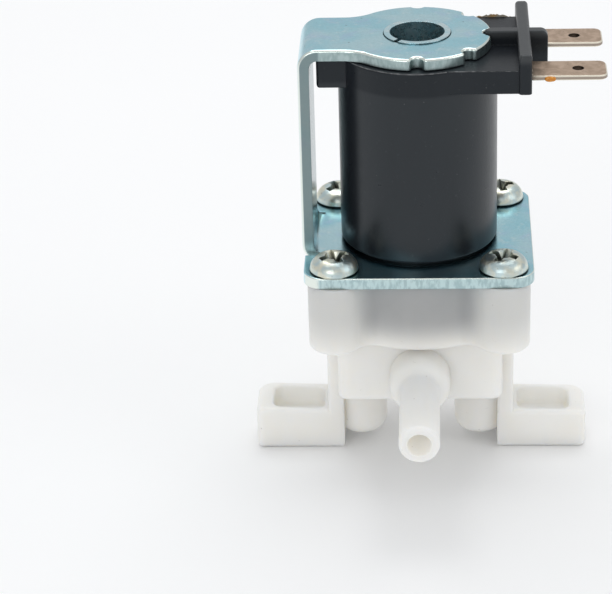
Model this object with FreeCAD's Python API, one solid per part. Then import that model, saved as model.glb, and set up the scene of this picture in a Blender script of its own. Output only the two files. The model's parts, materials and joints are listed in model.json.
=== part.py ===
"""Small plastic-bodied water solenoid valve, normally closed, 24 V DC, with 1/4 inch push-on stems.

Frame, in millimetres: +Z up along the coil axis, +X towards the spade terminals, -Y along the
inlet stem. The origin is on the coil axis, level with the underside of the two mounting ears.

From the bottom up: a white moulded body carries two stems, two mounting ears and four screw
bosses. A rubber diaphragm with a moulded insert closes the seat in the body. The flange of the
guide tube clamps the diaphragm, and the base of a one-piece steel yoke clamps the flange with
four pan-head screws. The moulded coil sits inside the yoke, round the guide tube, and two split
steel sleeves carry the flux to the plunger.
"""

import FreeCAD
import Part
import math
import os

V = FreeCAD.Vector
X_AXIS = V(1, 0, 0)
Y_AXIS = V(0, 1, 0)
Z_AXIS = V(0, 0, 1)

# ---- Driving dimensions ----
STEM_R = 3.175            # 1/4 inch stem
STEM_BORE_R = 1.9
SHEET = 1.8               # yoke steel
SCREW_PITCH = 26.6        # square pattern of the four screws
RUN = 0.05                # clearance of a running fit
PLUNGER_TRAVEL = 2.0

# Levels up the axis
EAR_TOP_Z = 6.9
STEM_Z = 18.2
MID_Z = 13.4              # underside of the middle of the body
BLOCK_Z = 23.8            # underside of the square top of the body
BODY_TOP_Z = 35.3
PLATE_TOP_Z = BODY_TOP_Z + SHEET
COIL_Z = PLATE_TOP_Z + 0.5
COIL_TOP_Z = 69.6
YOKE_TOP_Z = 71.55
YOKE_UNDER_Z = YOKE_TOP_Z - SHEET

# Body
BOSS_R = 4.25
CHAMBER_R = 15.9
BLEND_R = 2.6
MID_X = 13.2
MID_Y = 13.2
MID_CORNER_R = 1.6
MID_WALL = 2.2
STEM_BOSS_R = 4.8
STEM_BOSS_Y = 19.4
STEM_END_Y = 36.0
EAR_IN_X = 12.6
EAR_OUT_X = 27.1
EAR_HALF_Y = 4.9
WEB_X = 15.2              # outer side of the web above each ear
EAR_HOLE_X = 20.5
EAR_HOLE_R = 1.6
POST_X = 9.8
POST_R = 4.2
POST_Z = 1.6
POCKET_IN_X = 15.9        # open-topped pocket in each ear
POCKET_OUT_X = 24.4
POCKET_FRONT_Y = -3.6
POCKET_BACK_Y = 3.7
POCKET_FLOOR_Z = 3.8
LEFT_EAR_RISE = 0.5       # each ear's top slopes a little towards its outer end
RIGHT_EAR_RISE = -0.25

# Screws
BODY_SCREW_R = 1.95       # hole in the body
SCREW_HOLE_Z = 25.6
SCREW_HEAD_R = 3.85
SCREW_HEAD_H = 2.45
SCREW_ROOT_R = 1.45
THREAD_PITCH = 1.2
THREAD_TURNS = 7
PLATE_HOLE_R = 2.15

# Yoke
PLATE_X = 36.2
PLATE_Y = 33.6
PLATE_CORNER_R = 3.4
STRAP_OUT_X = -18.5
STRAP_HALF_Y = 7.25
BEND_R = 1.3              # inside radius of both bends
RING_R = 11.6
RING_BLEND_R = 6.0
NOTCH_R = 0.95
FRONT_NOTCH = 1.3         # depth of the round notches in the ring
SIDE_NOTCH = 1.0
BACK_NOTCH = 0.6
YOKE_HOLE_R = 5.3
EDGE_ROLL = 0.45          # rounded outer edge of the blanked sheet

# Coil
COIL_R = 12.5
BLOCK_HALF_Y = 11.6
BLOCK_UNDER_Z = 65.85
BARRIER_X = 15.5
BARRIER_END_X = 17.5
BARRIER_TOP_Z = 72.2
BARRIER_HALF_Y = 12.1
RIB_HALF_Y = 0.85
RIB_TOP_Z = 71.95
RIB_END_X = 20.3
LUG_END_X = -15.65
LUG_HALF_Y = 5.8
LUG_UNDER_Z = 64.8
BOBBIN_BORE_R = 5.27
BOBBIN_R = 6.35
FLANGE_R = 10.5
FLANGE = 1.3
BOBBIN_Z = COIL_Z + 1.1
BOBBIN_TOP_Z = 67.0
TAPE = 0.25
LEAD_R = 0.25
LEAD_Z = 64.0

# Spade terminals, 6.3 x 0.8
BLADE_Y = 6.9
BLADE_W = 6.3
BLADE_T = 0.8
BLADE_Z = 67.3
BLADE_IN_X = 10.7
BLADE_TIP_X = 29.1
BLADE_HOLE_X = 24.7
BLADE_CORNER_R = 1.3
BLADE_HOLE_R = 0.85

# Magnet circuit and moving parts
SLEEVE_R = 5.22
SLEEVE_BORE_R = 4.3
SLEEVE_TOP_Z = YOKE_TOP_Z + 0.2
UPPER_SLEEVE_Z = 55.0
LOWER_SLEEVE_TOP_Z = 47.0
SLEEVE_SLIT = 0.8
TUBE_R = 4.25
TUBE_BORE_R = 3.5
TUBE_TOP_Z = 65.5
TUBE_CROWN = 1.2
TUBE_FLANGE_Z = 33.1
TUBE_FLANGE_R = 12.2
PLUNGER_Z = 33.8
PLUNGER_TOP_Z = 56.5
SPRING_SEAT_Z = PLUNGER_TOP_Z - 2.0
SPRING_WIRE_R = 0.25
SPRING_R = 2.0
SPRING_TURNS = 6
CLOSED_TURNS = 0.75       # at each end of the spring
CLOSED_PITCH = 0.56
STOP_PIN_R = 1.3
SEAL_R = 1.9
SEAL_FLANGE_R = 2.3
PILOT_Z = 33.2            # face of the pilot nozzle that the plunger seal closes
SEAT_Z = 29.5             # face of the main seat
SEAT_BORE_R = 3.3
RECESS_R = 12.3
LEDGE_Z = 31.2
INLET_RING_R = 9.9        # water ring round the seat
SEAT_WALL_R = 4.6
INLET_RING_Z = 27.0
RISER_Y = -7.2            # passage up from the inlet stem
INSERT_R = 1.2            # hub hole in the diaphragm


# ---- Helpers ----
def cylinder(r, z0, z1, x=0.0, y=0.0):
    return Part.makeCylinder(r, z1 - z0, V(x, y, z0), Z_AXIS)


def ring(r_out, r_in, z0, z1):
    return cylinder(r_out, z0, z1).cut(cylinder(r_in, z0 - 1, z1 + 1))


def rod_y(r, y0, y1, x=0.0, z=0.0):
    return Part.makeCylinder(r, y1 - y0, V(x, y0, z), Y_AXIS)


def block(x0, x1, y0, y1, z0, z1):
    return Part.makeBox(x1 - x0, y1 - y0, z1 - z0, V(x0, y0, z0))


def turned(profile):
    """Solid of revolution about the Z axis from (radius, height) points."""
    points = [V(r, 0, z) for r, z in profile]
    face = Part.Face(Part.makePolygon(points + [points[0]]))
    return face.revolve(V(0, 0, 0), Z_AXIS, 360)


def joined(first, *others):
    return first.fuse(list(others)).removeSplitter()


def mirror_x(shape):
    return shape.mirror(V(0, 0, 0), X_AXIS)


def polar(radius, degrees):
    angle = math.radians(degrees)
    return V(radius * math.cos(angle), radius * math.sin(angle), 0)


def arc(centre, start, end, bulge_towards):
    """Arc edge about centre from start to end, passing on the side of the given point."""
    radius = (start - centre).Length
    middle = centre + (bulge_towards - centre).normalize() * radius
    return Part.Arc(start, middle, end).toShape()


def line(a, b):
    return Part.LineSegment(a, b).toShape()


def rounded_plate(size_x, size_y, corner_r, z0, z1):
    plate = block(-size_x / 2, size_x / 2, -size_y / 2, size_y / 2, z0, z1)
    return plate.makeFillet(corner_r, [e for e in plate.Edges if is_vertical(e)])


def is_vertical(edge):
    a, b = edge.Vertexes[0].Point, edge.Vertexes[-1].Point
    return abs(a.x - b.x) < 1e-6 and abs(a.y - b.y) < 1e-6 and abs(a.z - b.z) > 1e-6


def at_level(edge, z):
    return all(abs(v.Point.z - z) < 1e-6 for v in edge.Vertexes)


def corners(half):
    return [(sx * half, sy * half) for sx in (-1, 1) for sy in (-1, 1)]


# ---- Body ----
def block_outline():
    """Chamber circle with four corner bosses, blended by concave arcs, as a closed wire at Z 0."""
    half = SCREW_PITCH / 2
    corner_d = half * math.sqrt(2)
    a, b = CHAMBER_R + BLEND_R, BOSS_R + BLEND_R
    along = (a * a - b * b + corner_d * corner_d) / (2 * corner_d)
    off_deg = math.degrees(math.acos(along / a))
    edges = []
    for quarter in range(4):
        mid_deg = 45 + 90 * quarter
        boss = polar(corner_d, mid_deg)
        blends = [polar(a, mid_deg - off_deg), polar(a, mid_deg + off_deg)]
        on_chamber = [polar(CHAMBER_R, mid_deg - off_deg), polar(CHAMBER_R, mid_deg + off_deg)]
        on_boss = [boss + (c - boss).normalize() * BOSS_R for c in blends]
        between = [(on_chamber[i] + on_boss[i]) * 0.5 for i in (0, 1)]
        edges.append(arc(blends[0], on_chamber[0], on_boss[0], between[0]))
        edges.append(arc(boss, on_boss[0], on_boss[1], polar(corner_d + BOSS_R, mid_deg)))
        edges.append(arc(blends[1], on_boss[1], on_chamber[1], between[1]))
        next_start = polar(CHAMBER_R, mid_deg + 90 - off_deg)
        edges.append(arc(V(0, 0, 0), on_chamber[1], next_start, polar(CHAMBER_R, mid_deg + 45)))
    return Part.Wire(Part.__sortEdges__(edges))


def body_top():
    top = Part.Face(block_outline()).extrude(V(0, 0, BODY_TOP_Z - BLOCK_Z))
    top.translate(V(0, 0, BLOCK_Z))
    return top.makeFillet(0.7, [e for e in top.Edges if at_level(e, BLOCK_Z)])


def stem(sign):
    """Push-on stem growing out of its round boss, along -Y for the inlet and +Y for the outlet."""
    root_r, shoulder_y, foot_y = STEM_R + 0.35, STEM_BOSS_Y - 2.6, STEM_BOSS_Y - 0.1
    chamfer = 0.45
    edges = [line(V(0, 0, 0), V(STEM_BOSS_R, 0, 0)),
             line(V(STEM_BOSS_R, 0, 0), V(STEM_BOSS_R, shoulder_y, 0)),
             Part.Arc(V(STEM_BOSS_R, shoulder_y, 0), V(STEM_BOSS_R - 0.35, shoulder_y + 1.4, 0),
                      V(root_r, foot_y, 0)).toShape(),
             Part.Arc(V(root_r, foot_y, 0), V(STEM_R + 0.1, foot_y + 0.4, 0),
                      V(STEM_R, foot_y + 1.0, 0)).toShape(),
             line(V(STEM_R, foot_y + 1.0, 0), V(STEM_R, STEM_END_Y - chamfer, 0)),
             line(V(STEM_R, STEM_END_Y - chamfer, 0), V(STEM_R - chamfer, STEM_END_Y, 0)),
             line(V(STEM_R - chamfer, STEM_END_Y, 0), V(0, STEM_END_Y, 0)),
             line(V(0, STEM_END_Y, 0), V(0, 0, 0))]
    solid = Part.Face(Part.Wire(edges)).revolve(V(0, 0, 0), Y_AXIS, 360)
    if sign < 0:
        solid.rotate(V(0, 0, 0), Z_AXIS, 180)
    solid.translate(V(0, 0, STEM_Z))
    return solid


def outer_corners(foot, side):
    """Upright edges at an ear's outer end, at its back for side 1 and its front for side -1."""
    upright = [e for e in foot.Edges if is_vertical(e) and e.Vertexes[0].Point.x > EAR_HOLE_X]
    return [e for e in upright if side * e.Vertexes[0].Point.y > EAR_HALF_Y / 2 + 1.0]


def ear_foot(rise):
    """Foot of an ear: square to the front, with a wider radius at the back of its outer end."""
    y = -EAR_HALF_Y
    profile = [V(EAR_IN_X, y, 0), V(EAR_OUT_X, y, 0), V(EAR_OUT_X, y, EAR_TOP_Z + rise),
               V(EAR_IN_X, y, EAR_TOP_Z)]
    foot = Part.Face(Part.makePolygon(profile + [profile[0]])).extrude(V(0, 2 * EAR_HALF_Y, 0))
    foot = foot.makeFillet(2.8, outer_corners(foot, 1))
    foot = foot.makeFillet(1.0, outer_corners(foot, -1))
    foot = foot.makeFillet(0.8, [e for e in foot.Edges if at_level(e, 0)])
    return foot.makeFillet(0.7, [e for e in foot.Edges if on_ear_top(e)])


def on_ear_top(edge):
    return all(v.Point.z > EAR_TOP_Z - 0.6 for v in edge.Vertexes)


def on_pocket_rim(edge):
    box = edge.BoundBox
    return (on_ear_top(edge) and box.XMax < POCKET_OUT_X + 0.2
            and box.YMin > POCKET_FRONT_Y - 0.1 and box.YMax < POCKET_BACK_Y + 0.1)


def ear(rise):
    """Mounting ear on the +X side: an upright web from the body, and a foot with an open pocket."""
    web = block(EAR_IN_X, WEB_X, -EAR_HALF_Y, EAR_HALF_Y, 2.0, BLOCK_Z)
    web = web.makeFillet(0.5, [e for e in web.Edges if is_vertical(e)])
    pocket = block(POCKET_IN_X, POCKET_OUT_X, POCKET_FRONT_Y, POCKET_BACK_Y, POCKET_FLOOR_Z,
                   EAR_TOP_Z + 5)
    pocket = pocket.makeFillet(1.6, [e for e in pocket.Edges if is_vertical(e)])
    pocket = pocket.makeFillet(0.8, [e for e in pocket.Edges if at_level(e, POCKET_FLOOR_Z)])
    foot = ear_foot(rise).cut(pocket)
    foot = foot.makeFillet(0.4, [e for e in foot.Edges if on_pocket_rim(e)])
    hole = cylinder(EAR_HOLE_R, -1, POCKET_FLOOR_Z + 1, EAR_HOLE_X)
    return joined(foot, web).cut(hole)


def post(x):
    solid = cylinder(POST_R, POST_Z, BLOCK_Z, x)
    return solid.makeFillet(2.3, [e for e in solid.Edges if at_level(e, POST_Z)])


def middle():
    """Middle of the body, cored out from below between the stem channel and a cross rib."""
    solid = rounded_plate(2 * MID_X, 2 * MID_Y, MID_CORNER_R, MID_Z, BLOCK_Z + 0.5)
    solid = solid.makeFillet(0.9, [e for e in solid.Edges if at_level(e, MID_Z)])
    core = rounded_plate(2 * (MID_X - MID_WALL), 2 * (MID_Y - MID_WALL), MID_CORNER_R / 2,
                         MID_Z - 1, BLOCK_Z - 2.0)
    core = core.cut(cylinder(6.4, MID_Z - 2, BLOCK_Z))
    kept = [block(-STEM_BOSS_R, STEM_BOSS_R, -MID_Y, MID_Y, MID_Z - 2, BLOCK_Z),
            block(-MID_X, MID_X, -1.1, 1.1, MID_Z - 2, BLOCK_Z)]
    return solid.cut(core.cut(kept[0]).cut(kept[1]))


def waterways():
    """Everything cut out of the body for the water, the diaphragm and the guide tube's flange."""
    recess = cylinder(RECESS_R, LEDGE_Z, BODY_TOP_Z + 1)
    annulus = ring(INLET_RING_R, SEAT_WALL_R, INLET_RING_Z, LEDGE_Z + 0.5)
    over_seat = cylinder(5.2, SEAT_Z, LEDGE_Z + 0.5)
    outlet_well = cylinder(SEAT_BORE_R, STEM_Z - 1.0, SEAT_Z + 0.5)
    outlet = rod_y(STEM_BORE_R, 0, STEM_END_Y + 1, z=STEM_Z)
    inlet = rod_y(STEM_BORE_R, -STEM_END_Y - 1, RISER_Y, z=STEM_Z)
    riser = cylinder(STEM_BORE_R - 0.1, STEM_Z, INLET_RING_Z + 0.5, 0, RISER_Y)
    return joined(recess, annulus, over_seat, outlet_well, outlet, inlet, riser)


def valve_body():
    body = joined(body_top(), middle(), stem(-1), stem(1), post(POST_X), post(-POST_X),
                  ear(RIGHT_EAR_RISE), mirror_x(ear(LEFT_EAR_RISE)))
    body = body.cut(waterways())
    for x, y in corners(SCREW_PITCH / 2):
        body = body.cut(cylinder(BODY_SCREW_R, SCREW_HOLE_Z, BODY_TOP_Z + 1, x, y))
    return body


def screw(x, y, turn):
    """Pan-head thread-forming screw. The thread is drawn as rings, which fill the hole in the body."""
    seat, head_r, head_h = PLATE_TOP_Z, SCREW_HEAD_R, SCREW_HEAD_H
    rim = V(head_r - 0.15, 0, seat + 0.95)
    crown = V(1.6, 0, seat + head_h)
    through = V(3.0, 0, seat + 1.95)
    edges = [line(V(0, 0, seat), V(head_r - 0.2, 0, seat)),
             line(V(head_r - 0.2, 0, seat), V(head_r, 0, seat + 0.3)),
             line(V(head_r, 0, seat + 0.3), rim),
             Part.Arc(rim, through, crown).toShape(),
             line(crown, V(0, 0, seat + head_h)),
             line(V(0, 0, seat + head_h), V(0, 0, seat))]
    head = Part.Face(Part.Wire(edges)).revolve(V(0, 0, 0), Z_AXIS, 360)
    crest_r, root_r, tip_z = BODY_SCREW_R - 0.05, SCREW_ROOT_R, SCREW_HOLE_Z + 0.6
    profile = [(0, tip_z), (0.9, tip_z), (root_r, tip_z + 0.8)]
    for n in range(THREAD_TURNS):
        z = tip_z + 0.8 + n * THREAD_PITCH
        profile += [(root_r, z + 0.25), (crest_r, z + 0.6), (root_r, z + 0.95)]
    profile += [(root_r, seat + 0.2), (0, seat + 0.2)]
    solid = joined(head, turned(profile))
    solid = solid.cut(cross_recess(seat + head_h))
    solid.rotate(V(0, 0, 0), Z_AXIS, turn)
    solid.translate(V(x, y, 0))
    return solid


def cross_recess(top_z):
    """Cross recess: two tapered slots and a small centre cone."""
    cone = Part.makeCone(0.6, 1.4, 1.8, V(0, 0, top_z - 1.75), Z_AXIS)
    slot = wedge(2.5, 1.5, 0.6, top_z - 1.5, top_z + 0.1)
    turned_slot = slot.copy()
    turned_slot.rotate(V(0, 0, 0), Z_AXIS, 90)
    return joined(cone, slot, turned_slot)


def wedge(top_half, bottom_half, half_y, z0, z1):
    """Slot along X that narrows downwards."""
    points = [V(-bottom_half, -half_y, z0), V(bottom_half, -half_y, z0), V(top_half, -half_y, z1),
              V(-top_half, -half_y, z1)]
    return Part.Face(Part.makePolygon(points + [points[0]])).extrude(V(0, 2 * half_y, 0))


def body_screws():
    """The four screws, each stopped at its own angle."""
    stopped_at = (28, 40, 62, 15)
    return Part.makeCompound([screw(x, y, turn)
                              for (x, y), turn in zip(corners(SCREW_PITCH / 2), stopped_at)])


# ---- Yoke ----
def strap():
    """Upright strap with a bend at each end, drawn as one side profile."""
    inner_x = STRAP_OUT_X + SHEET
    big = BEND_R + SHEET
    bend_x = inner_x + BEND_R
    low = V(bend_x, 0, PLATE_TOP_Z + BEND_R)
    high = V(bend_x, 0, YOKE_UNDER_Z - BEND_R)
    tongue_x = bend_x + 1.0
    diag = math.sqrt(0.5)
    edges = [line(V(tongue_x, 0, BODY_TOP_Z), V(bend_x, 0, BODY_TOP_Z)),
             Part.Arc(V(bend_x, 0, BODY_TOP_Z), low + V(-big * diag, 0, -big * diag),
                      V(STRAP_OUT_X, 0, low.z)).toShape(),
             line(V(STRAP_OUT_X, 0, low.z), V(STRAP_OUT_X, 0, high.z)),
             Part.Arc(V(STRAP_OUT_X, 0, high.z), high + V(-big * diag, 0, big * diag),
                      V(bend_x, 0, YOKE_TOP_Z)).toShape(),
             line(V(bend_x, 0, YOKE_TOP_Z), V(tongue_x, 0, YOKE_TOP_Z)),
             line(V(tongue_x, 0, YOKE_TOP_Z), V(tongue_x, 0, YOKE_UNDER_Z)),
             line(V(tongue_x, 0, YOKE_UNDER_Z), V(bend_x, 0, YOKE_UNDER_Z)),
             Part.Arc(V(bend_x, 0, YOKE_UNDER_Z), high + V(-BEND_R * diag, 0, BEND_R * diag),
                      V(inner_x, 0, high.z)).toShape(),
             line(V(inner_x, 0, high.z), V(inner_x, 0, low.z)),
             Part.Arc(V(inner_x, 0, low.z), low + V(-BEND_R * diag, 0, -BEND_R * diag),
                      V(bend_x, 0, PLATE_TOP_Z)).toShape(),
             line(V(bend_x, 0, PLATE_TOP_Z), V(tongue_x, 0, PLATE_TOP_Z)),
             line(V(tongue_x, 0, PLATE_TOP_Z), V(tongue_x, 0, BODY_TOP_Z))]
    face = Part.Face(Part.Wire(edges))
    solid = face.extrude(V(0, 2 * STRAP_HALF_Y, 0))
    solid.translate(V(0, -STRAP_HALF_Y, 0))
    outer = [e for e in solid.Edges if e.BoundBox.YLength < 0.01 and on_outer_face(e)]
    return solid.makeFillet(EDGE_ROLL, outer)


def on_outer_face(edge):
    """True for the strap's edges on the outer side of the bent sheet."""
    box = edge.BoundBox
    return (box.ZMin > YOKE_TOP_Z - 0.01 or box.ZMax < BODY_TOP_Z + 0.01
            or box.XMin < STRAP_OUT_X + 0.01)


def top_ring():
    """Flat top of the yoke: a ring on the end of the strap, blended into the strap's edges."""
    blend_y = STRAP_HALF_Y + RING_BLEND_R
    reach = RING_R + RING_BLEND_R
    blend_x = -math.sqrt(reach * reach - blend_y * blend_y)
    start_x = STRAP_OUT_X + SHEET + BEND_R
    upper, lower = V(blend_x, blend_y, 0), V(blend_x, -blend_y, 0)
    on_ring_up, on_ring_low = upper * (RING_R / reach), lower * (RING_R / reach)
    diag = V(math.sqrt(0.5), -math.sqrt(0.5), 0) * RING_BLEND_R
    edges = [line(V(start_x, -STRAP_HALF_Y, 0), V(blend_x, -STRAP_HALF_Y, 0)),
             arc(lower, V(blend_x, -STRAP_HALF_Y, 0), on_ring_low,
                 lower + V(diag.x * 0.7, -diag.y * 1.2, 0)),
             arc(V(0, 0, 0), on_ring_low, on_ring_up, V(RING_R, 0, 0)),
             arc(upper, on_ring_up, V(blend_x, STRAP_HALF_Y, 0),
                 upper + V(diag.x * 0.7, diag.y * 1.2, 0)),
             line(V(blend_x, STRAP_HALF_Y, 0), V(start_x, STRAP_HALF_Y, 0)),
             line(V(start_x, STRAP_HALF_Y, 0), V(start_x, -STRAP_HALF_Y, 0))]
    plate = Part.Face(Part.Wire(edges)).extrude(V(0, 0, SHEET))
    plate.translate(V(0, 0, YOKE_UNDER_Z))
    notches = ((-90, FRONT_NOTCH), (-45, FRONT_NOTCH), (45, SIDE_NOTCH), (90, BACK_NOTCH))
    for degrees, depth in notches:
        plate = plate.cut(round_notch(degrees, depth))
    plate = plate.cut(v_notch())
    tips = [e for e in plate.Edges if is_vertical(e)
            and math.hypot(*e.Vertexes[0].Point[:2]) > RING_R - 0.05
            and e.Vertexes[0].Point.x > on_ring_up.x + 0.1]
    plate = plate.makeFillet(EDGE_ROLL + 0.1, tips)
    rim = [e for e in plate.Edges if at_level(e, YOKE_TOP_Z) and e.BoundBox.XMax > start_x + 0.1]
    plate = plate.makeFillet(EDGE_ROLL, rim)
    return plate.cut(cylinder(YOKE_HOLE_R, YOKE_UNDER_Z - 1, YOKE_TOP_Z + 1))


def round_notch(degrees, depth):
    """Round notch in the rim of the ring."""
    centre = polar(RING_R - depth + NOTCH_R, degrees)
    return cylinder(NOTCH_R, YOKE_UNDER_Z - 1, YOKE_TOP_Z + 1, centre.x, centre.y)


def v_notch():
    """V notch that sits over the end of the coil's rib and stops the coil from turning."""
    half, depth, flat = 1.95, 1.25, 0.45
    z0, z1 = YOKE_UNDER_Z - 1, YOKE_TOP_Z + 1
    mouth_x = RING_R + 0.2
    points = [V(mouth_x, -half, z0), V(mouth_x, half, z0), V(RING_R - depth, flat, z0),
              V(RING_R - depth, -flat, z0)]
    return Part.Face(Part.makePolygon(points + [points[0]])).extrude(V(0, 0, z1 - z0))


def base_plate():
    plate = rounded_plate(PLATE_X, PLATE_Y, PLATE_CORNER_R, BODY_TOP_Z, PLATE_TOP_Z)
    plate = plate.makeFillet(0.2, [e for e in plate.Edges if at_level(e, PLATE_TOP_Z)])
    bend_x = STRAP_OUT_X + SHEET + BEND_R
    relief_y = STRAP_HALF_Y + 0.9
    below, above = BODY_TOP_Z - 1, PLATE_TOP_Z + 1
    plate = plate.cut(block(-PLATE_X, bend_x, -relief_y, relief_y, below, above))
    plate = plate.cut(cylinder(YOKE_HOLE_R, below, above))
    for x, y in corners(SCREW_PITCH / 2):
        plate = plate.cut(cylinder(PLATE_HOLE_R, below, above, x, y))
    return plate


def yoke_frame():
    return joined(base_plate(), strap(), top_ring())


# ---- Coil ----
def blade(sign):
    """Spade terminal with a hole, a rounded and bevelled tip and a narrower tang inside the coil."""
    half, y = BLADE_W / 2, sign * BLADE_Y
    tab = block(BARRIER_X, BLADE_TIP_X, y - half, y + half, BLADE_Z, BLADE_Z + BLADE_T)
    tip = [e for e in tab.Edges if is_vertical(e) and e.BoundBox.XMin > BLADE_HOLE_X]
    tab = tab.makeFillet(BLADE_CORNER_R, tip)
    bevel = [e for e in tab.Edges if not is_vertical(e) and e.BoundBox.XMax > BARRIER_X + 1]
    tab = tab.makeChamfer(0.2, bevel)
    tang = block(BLADE_IN_X, BARRIER_X, y - half + 0.6, y + half - 0.6, BLADE_Z, BLADE_Z + BLADE_T)
    hole = cylinder(BLADE_HOLE_R, BLADE_Z - 1, BLADE_Z + 2, BLADE_HOLE_X, y)
    return joined(tab, tang).cut(hole)


def lead(sign):
    """End of the winding wire, from the winding out and up to the underside of the terminal."""
    out = V(BLADE_IN_X + 0.2, sign * 4.2, 0)
    start = out * (FLANGE_R / out.Length) + V(0, 0, LEAD_Z)
    elbow = out + V(0, 0, LEAD_Z)
    run = Part.makeCylinder(LEAD_R, (elbow - start).Length, start, elbow - start)
    knee = Part.makeSphere(LEAD_R, elbow)
    rise = Part.makeCylinder(LEAD_R, BLADE_Z - LEAD_Z, elbow, Z_AXIS)
    return joined(run.cut(cylinder(FLANGE_R, LEAD_Z - 1, LEAD_Z + 1)), knee, rise)


def rib():
    """Rib across the terminal block. Its wedge end sits in the V notch, and its other end
    divides the terminals."""
    nose, shoulder = RING_R - 1.05, RING_R - 0.15
    points = [V(nose, -0.35, BLOCK_UNDER_Z), V(nose, 0.35, BLOCK_UNDER_Z),
              V(shoulder, RIB_HALF_Y, BLOCK_UNDER_Z), V(RIB_END_X, RIB_HALF_Y, BLOCK_UNDER_Z),
              V(RIB_END_X, -RIB_HALF_Y, BLOCK_UNDER_Z), V(shoulder, -RIB_HALF_Y, BLOCK_UNDER_Z)]
    face = Part.Face(Part.makePolygon(points + [points[0]]))
    solid = face.extrude(V(0, 0, RIB_TOP_Z - BLOCK_UNDER_Z))
    corner = [e for e in solid.Edges if at_level(e, RIB_TOP_Z) and e.BoundBox.XMin > RIB_END_X - 0.1]
    solid = solid.makeFillet(1.2, corner)
    return solid.makeFillet(0.3, [e for e in solid.Edges if at_level(e, RIB_TOP_Z)])


def coil_shell():
    """Moulded cover of the coil, with its lug, terminal block, barrier and rib."""
    drum = cylinder(COIL_R, COIL_Z, COIL_TOP_Z)
    drum = drum.makeFillet(0.4, [e for e in drum.Edges if len(e.Vertexes) == 1])
    foot = ring(COIL_R - 0.9, BOBBIN_BORE_R + 1, PLATE_TOP_Z, COIL_Z + 0.5)
    deck = block(0, BARRIER_END_X, -BLOCK_HALF_Y, BLOCK_HALF_Y, BLOCK_UNDER_Z, COIL_TOP_Z)
    lug = block(LUG_END_X, 0, -LUG_HALF_Y, LUG_HALF_Y, LUG_UNDER_Z, COIL_TOP_Z)
    lug = lug.makeFillet(0.5, [e for e in lug.Edges if all(v.Point.x < -1 for v in e.Vertexes)])
    barrier = block(BARRIER_X, BARRIER_END_X, -BARRIER_HALF_Y, BARRIER_HALF_Y, BLOCK_UNDER_Z,
                    BARRIER_TOP_Z)
    barrier = barrier.makeFillet(0.6, [e for e in barrier.Edges if not at_level(e, BLOCK_UNDER_Z)])
    shell = joined(drum, foot, deck, lug, barrier, rib())
    shell = shell.cut(cylinder(BOBBIN_BORE_R, PLATE_TOP_Z - 1, COIL_TOP_Z + 1))
    shell = shell.cut(cylinder(FLANGE_R, BOBBIN_Z, BOBBIN_TOP_Z))
    for sign in (-1, 1):
        shell = shell.cut(blade(sign)).cut(lead(sign))
    return shell


def bobbin():
    return joined(ring(BOBBIN_R, BOBBIN_BORE_R, BOBBIN_Z, BOBBIN_TOP_Z),
                  ring(FLANGE_R, BOBBIN_R - 0.1, BOBBIN_Z, BOBBIN_Z + FLANGE),
                  ring(FLANGE_R, BOBBIN_R - 0.1, BOBBIN_TOP_Z - FLANGE, BOBBIN_TOP_Z))


def winding():
    return ring(FLANGE_R - TAPE, BOBBIN_R, BOBBIN_Z + FLANGE, BOBBIN_TOP_Z - FLANGE)


def winding_tape():
    return ring(FLANGE_R, FLANGE_R - TAPE, BOBBIN_Z + FLANGE, BOBBIN_TOP_Z - FLANGE)


def flux_sleeve(z0, z1, slit_degrees):
    """Rolled steel sleeve with the slit where its edges meet."""
    slit = block(0, SLEEVE_R + 1, -SLEEVE_SLIT / 2, SLEEVE_SLIT / 2, z0 - 1, z1 + 1)
    slit.rotate(V(0, 0, 0), Z_AXIS, slit_degrees)
    return ring(SLEEVE_R, SLEEVE_BORE_R, z0, z1).cut(slit)


# ---- Guide tube, plunger and diaphragm ----
def guide_tube():
    """Closed tube with a flange. A pin under its crown, inside the spring, stops the plunger."""
    crown_z = TUBE_TOP_Z - TUBE_CROWN
    tube = cylinder(TUBE_R, TUBE_FLANGE_Z + 1, TUBE_TOP_Z)
    tube = tube.makeFillet(1.2, [e for e in tube.Edges if at_level(e, TUBE_TOP_Z)])
    flange = cylinder(TUBE_FLANGE_R, TUBE_FLANGE_Z, BODY_TOP_Z)
    solid = joined(tube, flange)
    solid = solid.cut(cylinder(TUBE_BORE_R, TUBE_FLANGE_Z - 1, crown_z))
    solid = solid.cut(cylinder(9.0, TUBE_FLANGE_Z - 1, TUBE_FLANGE_Z + 0.9))
    stop_pin = cylinder(STOP_PIN_R, SPRING_SEAT_Z + PLUNGER_TRAVEL + 0.02, crown_z + 0.5)
    return joined(solid, stop_pin)


def plunger():
    """Steel core with a spring seat on top, a pocket for its seal below and two water grooves."""
    lip_z, pocket_z = PLUNGER_Z + 0.7, PLUNGER_Z + 2
    solid = cylinder(TUBE_BORE_R - RUN, PLUNGER_Z, PLUNGER_TOP_Z)
    solid = solid.makeChamfer(0.35, [e for e in solid.Edges if len(e.Vertexes) == 1])
    solid = solid.cut(cylinder(2.5, SPRING_SEAT_Z, PLUNGER_TOP_Z + 1))
    solid = solid.cut(cylinder(SEAL_R, PLUNGER_Z - 1, lip_z))
    solid = solid.cut(cylinder(SEAL_FLANGE_R, lip_z, pocket_z))
    groove = block(-0.5, 0.5, 2.9, 4, PLUNGER_Z - 1, PLUNGER_TOP_Z + 1)
    return solid.cut(groove).cut(groove.mirror(V(0, 0, 0), Y_AXIS))


def plunger_seal():
    """Rubber button held in the plunger by its flange."""
    face_z, lip_z, pocket_z = PILOT_Z + 0.01, PLUNGER_Z + 0.7, PLUNGER_Z + 2
    return turned([(0, face_z), (1.5, face_z), (SEAL_R, PILOT_Z + 0.3), (SEAL_R, lip_z),
                   (SEAL_FLANGE_R, lip_z), (SEAL_FLANGE_R, pocket_z), (0, pocket_z)])


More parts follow.
